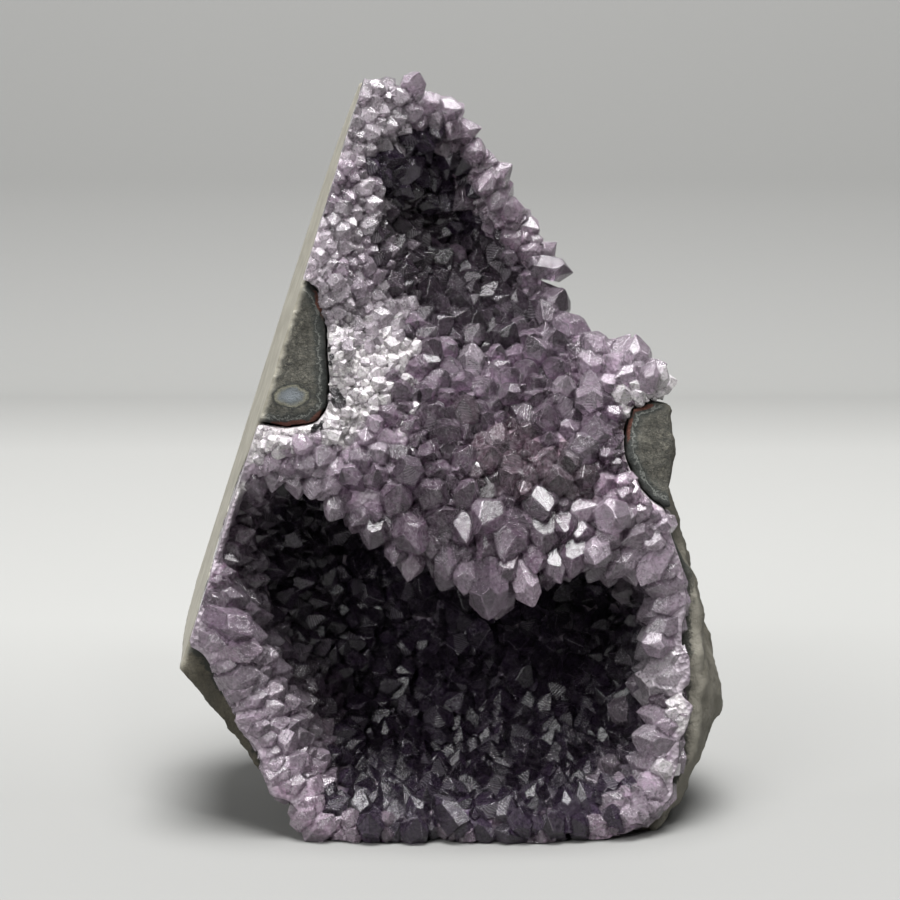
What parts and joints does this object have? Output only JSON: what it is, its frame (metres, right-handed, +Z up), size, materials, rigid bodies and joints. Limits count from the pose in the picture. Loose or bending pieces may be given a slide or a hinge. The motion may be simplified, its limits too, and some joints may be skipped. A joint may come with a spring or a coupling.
{
  "type": "amethyst geode",
  "caption": "Broken geode piece on a sawn base, with a cleft and a wide pocket lined with pale to deep purple crystals in grey-green basalt.",
  "frame": {"origin": "middle of the footprint's box, on the sawn base", "axes": "+Z up from the sawn base, -Y out of the crystal-lined front, +X to the viewer's right"},
  "size_m": [0.1114, 0.081, 0.149],
  "materials": {
    "basalt": "rough grey-green rock, dark next to the crystals, smooth where it is sawn",
    "quartz_bed": "milky quartz at the crystals' roots",
    "amethyst": "clear crystal with flat faces, pale at the rims and deep purple in the hollows"
  },
  "bodies": {
    "root": {"basalt_matrix": "basalt", "amethyst_crust": "amethyst"}
  },
  "joints": []
}
